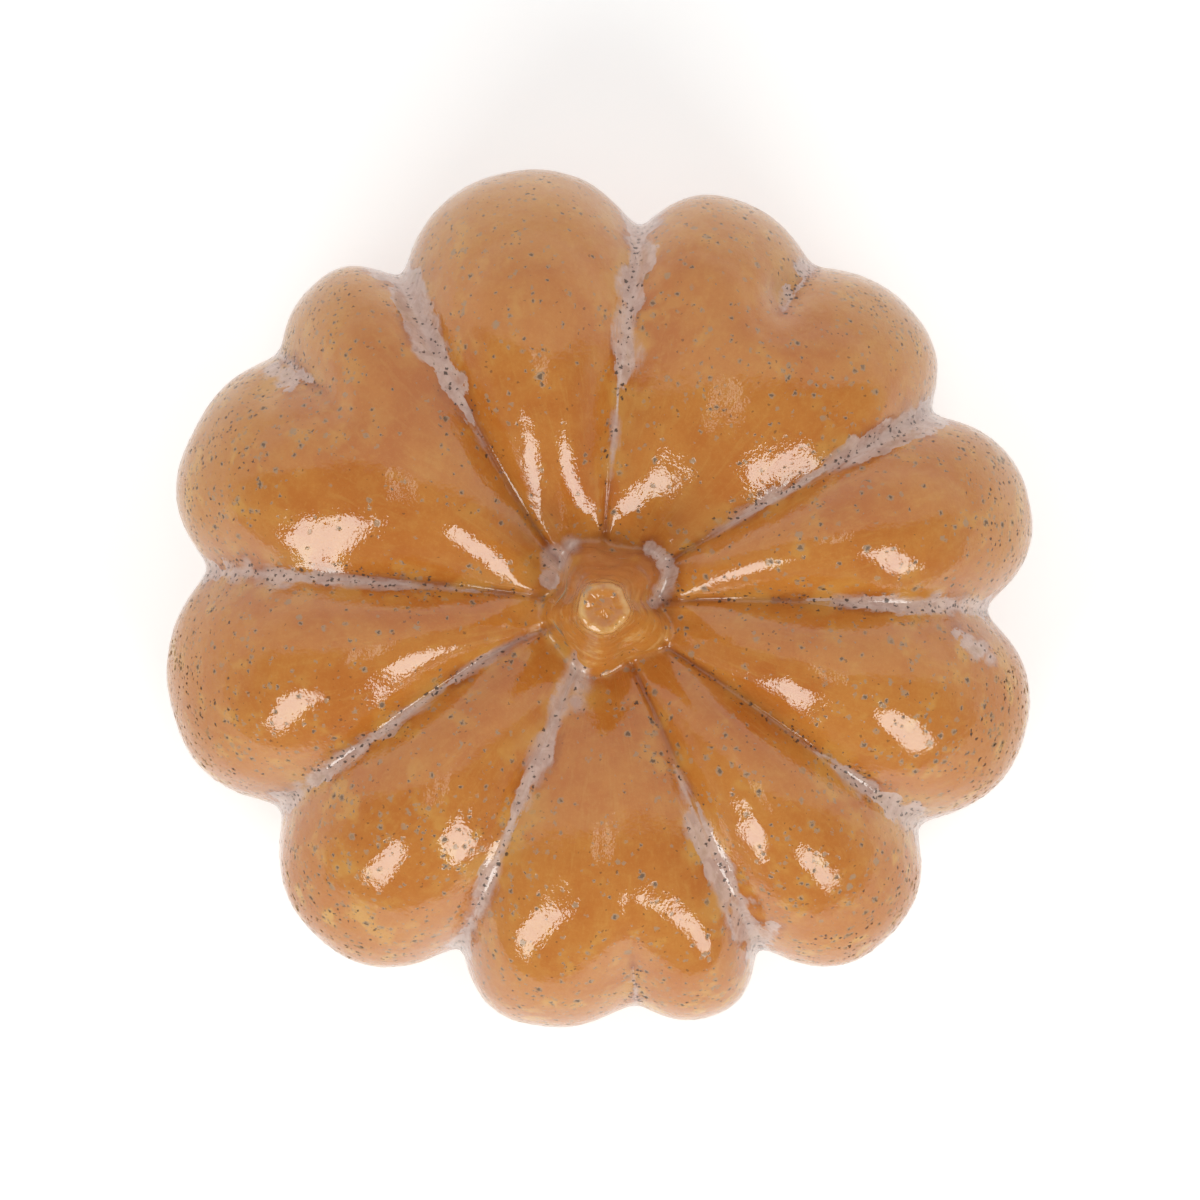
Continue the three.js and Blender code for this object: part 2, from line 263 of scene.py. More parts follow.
def rounded_rise(share, softness):
    """A rise from 0 to 1 that starts level, over a length of that softness, and then goes straight."""
    return (np.hypot(share, softness) - softness) / (np.hypot(1, softness) - softness)


def rail(station, top, reach, foot, face):
    """Radius and height of a crest or crease at a station: 0 is at the stem, 1 the top, 2 the widest line and
    3 the foot."""
    outer, high = reach - face["inset"], top - face["inset"]
    inward = np.clip(1 - station, 0, 1)
    shoulder = np.clip(station - 1, 0, 1) * RIGHT_ANGLE
    belly = np.clip(station - 2, 0, 1) * RIGHT_ANGLE
    crown_radius = mix(TOP_RADIUS, SEAT_RADIUS, inward)
    crown_height = mix(high, face["seat_z"], rounded_rise(inward, CROWN_ROUNDING))
    radius = np.where(station <= 1, crown_radius, mix(TOP_RADIUS, outer, np.sin(shoulder)))
    height = np.where(station <= 1, crown_height, mix(SEAM_Z, high, np.cos(shoulder)))
    radius = np.where(station > 2, mix(foot - face["inset"], outer, np.cos(belly)), radius)
    height = np.where(station > 2, mix(SEAM_Z, face["foot_z"], np.sin(belly)), height)
    return np.stack(np.broadcast_arrays(radius, height))


def section(across, station, softness):
    """A rib's rise from its creases, at -1 and 1 across, to its crest."""
    power = mix(TOP_SECTION_POWER, RIM_SECTION_POWER, np.clip(station - 1, 0, 1))
    return 1 - (1 - rounded_rise(1 - np.abs(across), softness)) ** power


def vault(across, station, left, middle, right, face):
    """A rib's face between the rails of its left crease, its crest and its right crease."""
    softness = mix(face["sharp"], face["soft"], np.clip(station / 2, 0, 1))
    a, b, c = (rail(station, *limits, face) for limits in (left, middle, right))
    return mix(mix(a, c, (across + 1) / 2), b, section(across, station, softness))


def crest(reach):
    """What rail needs for a crest: its top, reach and foot."""
    return TOP_Z + PROUD_RISE * BODY_RADIUS * (reach - 1), BODY_RADIUS * reach, FOOT_RADIUS


def crease(depth):
    """And for a crease."""
    return TOP_Z - TOP_CREASE_DEPTH, BODY_RADIUS - CREASE_DEPTH * depth, FOOT_RADIUS - FOOT_CREASE_DEPTH


def rib_face(station, face):
    """Radii and heights of the body's columns at each station, a column of stations giving a row each."""
    c = COLUMNS
    across, place = c["across"], c["place"]
    left, right = crease(c["depth"]), crease(c["next_depth"])
    split = (TOP_Z - TOP_FORK_DEPTH, BODY_RADIUS - CREASE_DEPTH * c["fork_depth"], FOOT_RADIUS)
    whole = vault(across, station, left, crest(c["reach"]), right, face)
    first_across = np.clip(2 * (across + 1) / (place + 1) - 1, -1, 1)
    second_across = np.clip(2 * (across - place) / np.maximum(1 - place, 0.01) - 1, -1, 1)
    first = vault(first_across, station, left, crest(c["first_reach"]), split, face)
    second = vault(second_across, station, split, crest(c["second_reach"]), right, face)
    halves = np.where(across < place, first, second)
    return mix(whole, halves, smooth(station, c["opens"], c["open"]) * c["forked"])


def column_angle(station):
    """Angles of the columns about the stem's axis, in radians."""
    swing = np.clip(1 - station / 2, 0, 1) ** 2
    start = mix(COLUMNS["start"], COLUMNS["start_at_stem"], swing)
    end = start + mix(COLUMNS["wide"], COLUMNS["wide_at_stem"], swing)
    return np.radians(mix(start, end, (COLUMNS["across"] + 1) / 2))


def around(radius, angle, height, centre=AXIS):
    x = centre[0] + radius * np.cos(angle)
    y = centre[1] + radius * np.sin(angle)
    return np.stack(np.broadcast_arrays(x, y, height), axis=-1)


def face_rows(stations, face):
    station = np.asarray(stations, float)[:, None]
    radius, height = rib_face(station, face)
    return around(radius, column_angle(station), height)


def normals_of(rows):
    """Outward unit normals of a grid of rows that close round the axis and run from the stem outwards."""
    along = np.gradient(rows, axis=0)
    across = np.roll(rows, -1, axis=1) - np.roll(rows, 1, axis=1)
    normal = np.cross(along, across)
    return normal / np.maximum(np.linalg.norm(normal, axis=-1, keepdims=True), 1e-9)


# The stem's outline


def stem_radius(angle, height):
    """The stem's radius at an angle in radians, at a height from 0 at the seat to 1 at the cut end."""
    turned = np.degrees(angle) - STEM_TWIST * height
    radius = np.zeros(np.broadcast(turned, height).shape)
    flare = (1 - height) ** STEM_FLARE
    for i, (ridge, reach, flute) in enumerate(STEM_RIDGES):
        next_ridge, next_reach, _ = STEM_RIDGES[(i + 1) % len(STEM_RIDGES)]
        share = turn_to(ridge, turned) / turn_to(ridge, next_ridge)
        round_radius = mix(STEM_TOP_RADIUS, STEM_REACH * mix(reach, next_reach, share), flare)
        hollow = np.sin(math.pi * share) ** 2 * flute * mix(TOP_FLUTE, 1, flare)
        radius = np.where(share < 1, round_radius - FLUTE_DEPTH * hollow, radius)
    return radius


# The skin of pressed clay under its glaze

SINK = 0.45  # the dressed skin lies this far in, and no lump stands off it by more
JOIN_BLEND = 2.6  # how softly the crown turns up into the stem
SEAT_SLOPE = 0.5  # fall of the crown beside the stem
SEAT_DROP = 1.5  # and how deep that goes
GROOVE_DEPTH = 0.9  # how deeply each crease is still scored where it meets the stem
GROOVE_WIDTH = 1.0
GROOVE_ENDS = (20, 32)  # radii between which the scoring fades
CLIMB_BAND = (-1.2, 1.6)  # heights of the stem's flank over the crown between which the crown becomes stem
FOOT_SETTLES = 2.93  # the station from which the skin goes back to the solids' foot
JOIN_RISE = 0.14  # share of the stem's height that slip and glaze climb
JOIN_TUCK = 1.2  # how far the skin's hidden inner edge dives under the stem's flank
DIMPLES = [(41.8, 69.6, 2.2, 4.5), (-75.5, 47.5, 1.0, 4)]  # x, y, depth and radius of pits at two forks
# Unevenness of the clay: height, length of wave and seed
LUMPS = [(0.17, 46, 11), (0.05, 21, 12), (0.018, 9, 13)]
FINGER_MARKS = [(0.08, 15, 14), (0.02, 7, 15)]
GRAIN = (0.012, 4.2, 16, 40)  # and how many waves
COLLAR_LUMPS = (0.1, 5, 17)  # in the slip round the stem
MARKS_RADIUS = 70  # of the cylinder round which finger marks are laid
MARKS_LENGTH = 16  # how far they are drawn out, in millimetres for each station


def cylinder(angle, radius, along):
    """Points on a cylinder, where noise closes on itself round the axis."""
    return np.stack(np.broadcast_arrays(radius * np.cos(angle), radius * np.sin(angle), along), axis=-1)


def uneven(points, *kinds):
    """The sum of several fields of waves, each given by its height and what else waves needs."""
    return sum(height * waves(points, *rest) for height, *rest in kinds)


def from_axis(points):
    return np.linalg.norm(points[..., :2] - AXIS, axis=-1)


def relief(points, stations):
    """How far the skin stands off its smooth form: lumps, and ridges left by fingers and tools."""
    station = np.asarray(stations, float)[:, None]
    radius = from_axis(points)
    marked = cylinder(column_angle(station), MARKS_RADIUS, station * MARKS_LENGTH)
    fingers = uneven(marked, *FINGER_MARKS) * smooth(radius, 15, 90)
    collar = uneven(points, COLLAR_LUMPS) * (1 - smooth(radius, 17, 26))
    off = uneven(points, *LUMPS) + fingers + uneven(points, GRAIN) + collar
    for x, y, depth, size in DIMPLES:
        away = np.linalg.norm(points[..., :2] - np.array([x, y]), axis=-1)
        off = off - depth * bell(away, size)
    return np.minimum(off, SINK)


def flank_height(radius, angle):
    """Height of the stem's flank at a radius, carried on below the seat outside its outline."""
    heights = np.linspace(0, 0.5, FLANK_STEPS)
    table = stem_radius(angle[None, :], heights[:, None])
    steep = (heights[1] - heights[0]) * (STEM_TOP_Z - SEAT_Z) / np.maximum(table[0] - table[1], 0.05)
    found = np.empty(radius.shape)
    for column in range(radius.shape[1]):
        found[:, column] = np.interp(radius[:, column], table[::-1, column], heights[::-1])
    outside = np.clip(radius - table[0], 0, None)
    return mix(SEAT_Z, STEM_TOP_Z, found) - steep * outside


def join(height, flank):
    """The higher of two surfaces, rounded where they meet."""
    near = np.clip(JOIN_BLEND - np.abs(height - flank), 0, None)
    return np.maximum(height, flank) + near**2 / (4 * JOIN_BLEND)


def crease_column(rib):
    """The column on the crease that begins a rib."""
    return int(np.argmax(COLUMNS["rib"] == rib))


def fork_column(rib):
    """The column on a rib's fork."""
    return int(np.argmax((COLUMNS["rib"] == rib) & (COLUMNS["across"] >= COLUMNS["place"] - 1e-6)))


def gaps_from(columns, rows):
    """For each of those columns, how far along its row each point lies from it, less than 0 before it."""
    steps = np.linalg.norm(np.roll(rows, -1, axis=1) - rows, axis=-1)
    along = np.cumsum(steps, axis=1) - steps
    total = steps.sum(axis=1, keepdims=True)
    return [(along - along[:, [column]] + total / 2) % total - total / 2 for column in columns]


def from_creases(rows):
    """Distance of each point along its row from the nearest crease."""
    columns = [crease_column(rib) for rib in range(len(RIBS))]
    return np.abs(gaps_from(columns, rows)).min(axis=0)


def outer_skin():
    """The whole outer skin from under the stem to the foot: its stations, its points, their normals, and how
    far each point belongs to the stem."""
    stations = np.concatenate([
        np.linspace(0, 1, CROWN_STEPS, endpoint=False),
        np.linspace(1, 2, SHOULDER_STEPS, endpoint=False),
        np.linspace(2, 3, BELLY_STEPS + 1),
    ])
    rows = face_rows(stations, OUTSIDE)
    settle = 1 - smooth(stations, FOOT_SETTLES, 3)[:, None, None]
    rows = rows + normals_of(rows) * (relief(rows, stations)[..., None] - SINK) * settle
    first_angle = column_angle(np.float64(0))
    first_radius = from_axis(rows[0])
    share = np.linspace(0, 1, SEAT_STEPS, endpoint=False)[:, None]
    seat_radius = mix(stem_radius(first_angle, JOIN_RISE), first_radius, share)
    drop = SEAT_DROP * np.tanh(SEAT_SLOPE * (first_radius - seat_radius) / SEAT_DROP)
    seat = around(seat_radius, first_angle, rows[0, :, 2] - drop)
    rows = np.concatenate([seat, rows])
    crown = slice(SEAT_STEPS + CROWN_STEPS)
    crown_radius = from_axis(rows[crown])
    flank = flank_height(crown_radius, first_angle)
    climb = np.zeros(rows.shape[:2])
    climb[crown] = smooth(flank - rows[crown, :, 2], *CLIMB_BAND)
    scored = GROOVE_DEPTH * bell(from_creases(rows[crown]), GROOVE_WIDTH)
    scored = scored * (1 - smooth(crown_radius, *GROOVE_ENDS)) * (1 - climb[crown])
    rows[crown, :, 2] = join(rows[crown, :, 2] - scored, flank)
    rows[:SEAT_STEPS, :, 2] -= JOIN_TUCK * (1 - share) ** 2
    return np.concatenate([np.zeros(SEAT_STEPS), stations]), rows, normals_of(rows), climb


def add_patches(field, rows, patches, shrink=0):
    """The pool field with round patches added, each smaller by what shrink says."""
    flat = rows[..., :2] - AXIS
    for x, y, size in patches:
        field = np.maximum(field, size - np.linalg.norm(flat - np.array([x, y]), axis=-1) - shrink)
    return field


def pool_field(stations, rows):
    """How far inside the opaque pools of glaze each point lies, in millimetres, less than 0 outside them, how
    crowded the pinholes are there, and how close it is to the bottom line of a crease, which is painted dark
    as painted shade and deep glaze."""
    radius = from_axis(rows)
    station = stations[:, None]
    below = mix(1, POOL_BELOW, smooth(station, 2, 3))
    swell = np.clip(0.95 + uneven(rows, *POOL_SWELL), 0.3, 1.6)
    grit = np.zeros(radius.shape)
    # line: the dark crease bottoms, painted shade and deep glaze
    line = np.zeros(radius.shape)
    field = np.full(radius.shape, NO_POOL)
    columns = [crease_column(rib) for rib in range(len(RIBS))]
    for pool, column, gap in zip(POOLS, columns, gaps_from(columns, rows)):
        radii, halves = np.array(pool["spans"], float).T
        crease_radius = radius[:, [column]]
        half = np.where(station > 2, halves[-1] * below, np.interp(crease_radius, radii, halves))
        starved = (crease_radius < radii[0]) & (station < 2)
        half = np.where(starved, half - (radii[0] - crease_radius) * POOL_TAPER, half)
        field = np.maximum(field, np.where(half > 0, half * swell, half) - np.abs(gap - pool["lean"]))
        near = bell(gap - pool["lean"] / 2, CREASE_PINS) * mix(0.45, 1, smooth(crease_radius, 14, 62))
        grit = np.maximum(grit, pool["grit"] * near)
        line = np.maximum(line, bell(gap, CREASE_SHADE_REACH) * smooth(crease_radius, 13, 18))
    forked = [i for i, rib in enumerate(RIBS) if "fork" in rib]
    for i, gap in zip(forked, gaps_from([fork_column(i) for i in forked], rows)):
        opens, is_open = RIBS[i]["opens"]
        open_here = smooth(station, opens + FORK_LAG, is_open)
        field = np.maximum(field, mix(CLOSED_FORK, RIBS[i]["fork_pool"], open_here) - np.abs(gap))
        grit = np.maximum(grit, FORK_GRIT * bell(gap, FORK_PINS) * open_here)
        line = np.maximum(line, bell(gap, FORK_SHADE_REACH) * open_here)
    return {"pool": add_patches(field, rows, STEM_PATCHES + RIB_PATCHES), "grit": grit, "line": line}


# Meshes


def make_mesh(name, rows, closed, materials, picks, smooth_rows, attributes=None, normals=None):
    """A mesh of a grid of rows that each close on themselves. picks gives each band's material, and
    smooth_rows whether it is shaded smooth. closed joins the last row to the first, and otherwise both ends
    are shut by a fan. normals, where given, are the shading normals of the rows that have them."""
    rows = np.asarray(rows, float)
    count, across = rows.shape[:2]
    points = rows.reshape(-1, 3)
    bands = count if closed else count - 1
    index = np.arange(count * across).reshape(count, across)
    corners = index, np.roll(index, -1, 0), np.roll(index, (-1, -1), (0, 1)), np.roll(index, -1, 1)
    faces = np.stack(corners, axis=-1)[:bands].reshape(-1, 4).tolist()
    band_of = np.repeat(np.arange(bands), across).tolist()
    if not closed:
        points = np.concatenate([points, rows[0].mean(0)[None], rows[-1].mean(0)[None]])
        start, end = len(points) - 2, len(points) - 1
        last = (count - 1) * across
        for i in range(across):
            j = (i + 1) % across
            faces.append([start, i, j])
            faces.append([end, last + j, last + i])
            band_of += [0, bands - 1]
    mesh = bpy.data.meshes.new(name)
    mesh.from_pydata((points * MM).tolist(), [], faces)
    mesh.polygons.foreach_set("material_index", [picks[b] for b in band_of])
    mesh.polygons.foreach_set("use_smooth", [smooth_rows[b] for b in band_of])
    for material in materials:
        mesh.materials.append(material)
    for key, values in (attributes or {}).items():
        spare = len(points) - values.size
        layer = mesh.attributes.new(key, "FLOAT", "POINT")
        layer.data.foreach_set("value", np.concatenate([values.ravel(), np.zeros(spare)]).astype(np.float32))
    mesh.update()
    if normals is not None:
        set_normals(mesh, normals)
    return put(name, mesh)


def put(name, data):
    """A new object in the scene."""
    made = bpy.data.objects.new(name, data)
    bpy.context.scene.collection.objects.link(made)
    return made


def set_normals(mesh, normals):
    """Gives smooth faces the normals of their points, so that two meshes can share a row without a line."""
    def read(items, field, kind=int):
        values = np.zeros(len(items), kind)
        items.foreach_get(field, values)
        return values

    smooth_loop = np.repeat(read(mesh.polygons, "use_smooth", bool), read(mesh.polygons, "loop_total"))
    given = normals.reshape(-1, 3)[read(mesh.loops, "vertex_index")]
    mesh.normals_split_custom_set(np.where(smooth_loop[:, None], given, 0).tolist())


# Materials


def paint(red, green, blue):
    """A colour written as it looks on a screen, 0 to 255, as linear light."""
    def linear(value):
        share = value / 255
        return share / 12.92 if share <= 0.04045 else ((share + 0.055) / 1.055) ** 2.4
    return linear(red), linear(green), linear(blue), 1


class Nodes:
    """Adds nodes to a tree. A socket given where a value could be is linked."""

    def __init__(self, tree):
        self.tree = tree
        tree.nodes.clear()

    def add(self, kind, inputs=None, **settings):
        node = self.tree.nodes.new(kind)
        for key, value in settings.items():
            setattr(node, key, value)
        for key, value in (inputs or {}).items():
            if isinstance(value, bpy.types.NodeSocket):
                self.tree.links.new(value, node.inputs[key])
            else:
                node.inputs[key].default_value = value
        return node

    def ramp(self, value, low, high, first=0.0, second=1.0):
        inputs = {"Value": value, "From Min": low, "From Max": high, "To Min": first, "To Max": second}
        return self.add("ShaderNodeMapRange", inputs, interpolation_type="SMOOTHSTEP").outputs["Result"]

    def math(self, operation, values, clamp=False):
        total, *others = values
        for other in others:
            node = self.add("ShaderNodeMath", {0: total, 1: other}, operation=operation, use_clamp=clamp)
            total = node.outputs[0]
        return total

    def plus(self, *values, clamp=False):
        return self.math("ADD", values, clamp)

    def minus(self, *values):
        return self.math("SUBTRACT", values)

    def times(self, *values, clamp=False):
        return self.math("MULTIPLY", values, clamp)

    def over(self, *values):
        return self.math("DIVIDE", values)

    def most(self, *values):
        return self.math("MAXIMUM", values)

    def less(self, *values):
        return self.math("LESS_THAN", values)

    def length(self, a, b):
        squares = self.plus(self.times(a, a), self.times(b, b))
        return self.add("ShaderNodeMath", {0: squares}, operation="SQRT").outputs[0]


class Shader(Nodes):
    """Builds one material. Its noises are given by size in millimetres, detail, roughness and seed."""

    def __init__(self, name):
        self.material = bpy.data.materials.new(name)
        self.material.use_nodes = True
        super().__init__(self.material.node_tree)
        self.coordinates = self.add("ShaderNodeTexCoord").outputs["Object"]

    def noise(self, size, detail, rough, seed, warp=0.0, vector=None):
        inputs = {"Vector": vector or self.coordinates, "W": seed, "Scale": 1 / (size * MM),
                  "Detail": detail, "Roughness": rough, "Distortion": warp}
        return self.add("ShaderNodeTexNoise", inputs, noise_dimensions="4D").outputs["Fac"]

    def centred(self, kind):
        """Noise about 0."""
        return self.minus(self.noise(*kind), 0.5)

    def drawn(self, east, north, fall, size, radius, along, seed):
        """Noise drawn out over the body's surface: wrapped on a cylinder of the given radius, with its lengths
        along the fall of the surface shrunk to the given share."""
        place = {"X": self.times(east, radius * MM), "Y": self.times(north, radius * MM),
                 "Z": self.times(fall, along)}
        vector = self.add("ShaderNodeCombineXYZ", place).outputs[0]
        return self.noise(size, 3, 0.6, seed, 0.4, vector)

    def cells(self, size, vector):
        """Distance from each cell's centre, in cells, and three random values for each cell."""
        inputs = {"Vector": vector, "Scale": 1 / (size * MM), "Randomness": 1.0}
        node = self.add("ShaderNodeTexVoronoi", inputs)
        chances = self.add("ShaderNodeSeparateColor", {"Color": node.outputs["Color"]}).outputs
        return node.outputs["Distance"], chances

    def specks(self, share, vector, size, reach, sharp):
        """Blotches and their dark middles: share is how many cells have one, reach their largest radius in
        cells, and sharp how crisp their edges are."""
        distance, (chance, big, dark) = self.cells(size, vector)
        present = self.less(chance, share)
        radius = self.times(self.plus(0.25, self.times(big, 0.75)), reach)
        near = self.minus(1.0, self.over(distance, radius))
        blotch = self.times(self.times(near, sharp, clamp=True), present)
        middle = self.times(self.minus(near, 0.45), sharp * 2, clamp=True)
        return blotch, self.times(middle, present, self.ramp(dark, 0.2, 0.5))

    def shifted(self, size, amount):
        """Coordinates pushed about by noise, so that round cells become ragged."""
        noise = self.add("ShaderNodeTexNoise", {"Vector": self.coordinates, "Scale": 1 / (size * MM)})

        def moved(operation, inputs):
            return self.add("ShaderNodeVectorMath", inputs, operation=operation).outputs[0]

        push = moved("SUBTRACT", {0: noise.outputs["Color"], 1: (0.5, 0.5, 0.5)})
        return moved("ADD", {0: self.coordinates, 1: moved("SCALE", {0: push, "Scale": amount * MM})})

    def blend(self, share, a, b):
        return self.add("ShaderNodeMix", {0: share, 6: a, 7: b}, data_type="RGBA").outputs[2]

    def attribute(self, name):
        return self.add("ShaderNodeAttribute", attribute_name=name).outputs["Fac"]

    def bump(self, height, distance):
        inputs = {"Height": height, "Distance": distance * MM, "Strength": 1.0}
        return self.add("ShaderNodeBump", inputs).outputs["Normal"]

    def finish(self, inputs):
        surface = self.add("ShaderNodeBsdfPrincipled", inputs).outputs["BSDF"]
        self.tree.links.new(surface, self.add("ShaderNodeOutputMaterial").inputs["Surface"])
        return self.material


AMBER = paint(198, 125, 54)
# Deeper amber of the glaze, and also painted shade on the rim towards -Y
AMBER_DEEP_AND_SHADE = paint(187, 107, 40)
OCHRE = paint(208, 152, 76)
GOLD = paint(212, 148, 72)
PALE_GOLD = paint(224, 178, 112)
# The ochre of thin glaze, laid on the rim more towards +Y as painted light
THIN_GLAZE_AND_PAINTED_LIGHT = paint(198, 142, 72)
POOL_LILAC = paint(213, 183, 170)
POOL_SHADE = paint(193, 160, 148)
SPECK_GREY = paint(170, 140, 112)
SPECK_DARK = paint(62, 48, 38)
BARE_CLAY = paint(196, 172, 140)
BROWN_CLAY = paint(178, 150, 116)
CLAY_GROG = paint(120, 96, 70)
GLAZE_LINE = paint(112, 66, 34)
# Deep glaze, and also painted shade along the crease bottoms
DEEP_GLAZE_AND_SHADE = paint(150, 76, 34)
# Rosy glaze, and also painted shade on the stem's flank towards +Y
ROSY_AND_SHADE = paint(180, 112, 74)
FELT_DARK = paint(92, 80, 68)
FELT_PALE = paint(134, 120, 104)
FELT_STAIN = paint(78, 68, 58)

# The glaze's noises, the last number of BLOTS being how warped it is
CLOUDS = (16, 4, 0.6, 1)
DRIFT = (5, 5, 0.65, 2)
FINE = (0.7, 3, 0.75, 3)
CROWDS = (26, 2, 0.6, 4)
BLOTS = (3.6, 3, 0.6, 5, 0.8)
FRAYING = (0.8, 3, 0.65, 6)
WIPING = (7, 3, 0.6, 8)
RIPPLE = (0.62, 1, 0.5, 9)
BROAD_RIPPLE = (1.6, 0, 0.5, 10)
SIDES = (9, 2, 0.5, 11)
FEATHERS = (11, 1, 0.5, 15)
DABS = (2.4, 3, 0.65, 17)
KNOTS = (5.5, 2, 0.55, 18)
# Its noises that are drawn out down the body: size, radius of the cylinder, share of length and seed
STRANDS = (1.9, 62, 0.22, 14)
STROKES = (2.1, 4.5, 0.5, 16)
# What makes its specks ragged: size of the noise that pushes them about, and how far
RAGGED = (0.8, 1.3)
# The specks: size of the cells, reach in cells and sharpness
LARGE_SPECKS = (2.9, 0.4, 3)
SMALL_SPECKS = (1.7, 0.46, 3.2)
TINY_SPECKS = (1.2, 0.32, 4)
PINHOLES = (1.15, 0.46, 3)
# Heights over the foot up to which it is bare, where the line at the glaze's end is darkest, and of its top
BARE_HEIGHT, LINE_HEIGHT, LINE_TOP = 3.0, 3.4, 5.4
GLAZE_INDEX = 1.6


class Glaze(Shader):
    """The glaze and what its steps share. Each step below is given the colour so far and gives the next."""

    def __init__(self, name):
        super().__init__(name)
        self.x, self.y, self.z = self.add("ShaderNodeSeparateXYZ", {"Vector": self.coordinates}).outputs
        fields = (self.attribute(field) for field in ("pool", "grit", "line", "stem"))
        self.pool, self.grit, self.crease_line, self.stem = fields
        self.away = self.length(self.x, self.y)  # from the middle of the outline
        out_x, self.out_y = self.minus(self.x, AXIS[0] * MM), self.minus(self.y, AXIS[1] * MM)
        self.out = self.length(out_x, self.out_y)  # from the stem's axis
        way = self.over(out_x, self.out), self.over(self.out_y, self.out), self.minus(self.out, self.z)
        self.strands, self.strokes = self.drawn(*way, *STRANDS), self.drawn(*way, *STROKES)
        self.drift, self.fine, self.blots = self.noise(*DRIFT), self.noise(*FINE), self.noise(*BLOTS)
        self.thin = self.ramp(self.plus(self.away, self.times(self.drift, 18 * MM)), 76 * MM, 114 * MM)
        self.steep = self.ramp(self.out, 80 * MM, 95 * MM)
        self.crowding = self.minus(1.0, self.times(self.stem, 0.6))
        self.ragged = self.shifted(*RAGGED)


def ground(s):
    """Amber, deeper in clouds, ochre where it ran thin towards the rim, in strands down the ribs, with painted
    light on the rim towards +Y and painted shade on it towards -Y.
    """
    colour = s.blend(s.ramp(s.noise(*CLOUDS), 0.38, 0.66), AMBER, AMBER_DEEP_AND_SHADE)
    colour = s.blend(s.ramp(s.drift, 0.48, 0.78, 0.0, 0.34), colour, OCHRE)
    # Thin glaze on the rim, blended in more towards +Y and less towards -Y: painted light and shade over the
    # glaze's own thinning
    far_side_painted_light = s.ramp(s.y, -80 * MM, 80 * MM, 0.36, 0.85)
    colour = s.blend(s.times(s.thin, far_side_painted_light), colour, THIN_GLAZE_AND_PAINTED_LIGHT)
    # Painted shade: the outer rim towards -Y is painted deeper amber
    near_side_painted_shade = s.ramp(s.y, 60 * MM, -40 * MM, 0.0, 0.4)
    colour = s.blend(s.times(s.ramp(s.away, 74 * MM, 98 * MM), near_side_painted_shade), colour, AMBER_DEEP_AND_SHADE)
    colour = s.blend(s.ramp(s.strands, 0.5, 0.72, 0.0, 0.3), colour, OCHRE)
    return s.blend(s.ramp(s.noise(*DABS), 0.42, 0.72, 0.0, 0.3), colour, AMBER_DEEP_AND_SHADE)


def brush_stem(s, colour):
    """Gold with the marks of the brush, amber in the dish and pale round its rim. Its flank towards +Y is
    rosy, with fewer pale strokes: partly its own tint and partly painted shade.
    """
    colour = s.blend(s.times(s.stem, 0.4), colour, GOLD)
    # The flank towards +Y: a rosy tint of the glaze, and painted shade on the side away from the lamps
    far_flank_shade = s.times(s.stem, s.ramp(s.out_y, -3 * MM, 9 * MM))
    brushed = s.minus(s.stem, s.times(far_flank_shade, 0.6))
    pale, deep = s.ramp(s.strokes, 0.5, 0.66, 0.0, 0.6), s.ramp(s.strokes, 0.48, 0.34, 0.0, 0.4)
    colour = s.blend(s.times(brushed, pale), colour, PALE_GOLD)
    colour = s.blend(s.times(brushed, deep), colour, AMBER_DEEP_AND_SHADE)
    colour = s.blend(s.times(far_flank_shade, 0.55), colour, ROSY_AND_SHADE)
    dish = s.times(s.stem, s.ramp(s.out, 4.6 * MM, 3.4 * MM, 0.0, 0.75))
    colour = s.blend(dish, colour, AMBER)
    rim = s.times(s.ramp(s.out, 3.8 * MM, 4.8 * MM), s.ramp(s.out, 7.0 * MM, 5.8 * MM),
                  s.ramp(s.strokes, 0.36, 0.56, 0.1, 0.5), s.stem)
    return s.blend(rim, colour, PALE_GOLD)


def mottle(s, colour):
    """Fine deep and pale mottling."""
    colour = s.blend(s.ramp(s.fine, 0.45, 0.75, 0.0, 0.3), colour, AMBER_DEEP_AND_SHADE)
    return s.blend(s.ramp(s.fine, 0.5, 0.3, 0.0, 0.2), colour, OCHRE)


def speckle(s, colour):
    """Ragged grey blotches with a dark middle, in crowds, more of them towards the rim and the creases."""
    knots = s.ramp(s.noise(*KNOTS), 0.5, 0.68)
    beside = s.times(s.most(s.thin, s.ramp(s.pool, -9.0, 0.0)), 0.4)
    front = s.times(s.ramp(s.y, 30 * MM, -40 * MM, 0.0, 0.26), s.ramp(s.away, 35 * MM, 85 * MM))
    flanks = s.ramp(s.steep, 0.0, 1.0, 0.14, 0.42)
    crowd = s.plus(s.ramp(s.noise(*CROWDS), 0.4, 0.62, 0.0, 0.45), beside, front, flanks)
    crowd = s.times(crowd, s.crowding, s.plus(0.5, s.times(knots, 1.8)))
    colour = s.blend(s.times(knots, crowd, 0.32), colour, OCHRE)
    large, large_core = s.specks(crowd, s.ragged, *LARGE_SPECKS)
    small, small_core = s.specks(crowd, s.ragged, *SMALL_SPECKS)
    tiny, _ = s.specks(s.times(crowd, 0.5), s.ragged, *TINY_SPECKS)
    s.ring = s.most(large, s.times(small, 0.9))
    s.core = s.most(large_core, small_core)
    colour = s.blend(s.times(s.ring, s.ramp(s.fine, 0.3, 0.6, 0.5, 0.9)), colour, SPECK_GREY)
    return s.blend(s.most(s.times(s.core, 0.66), s.times(tiny, 0.5)), colour, SPECK_DARK)


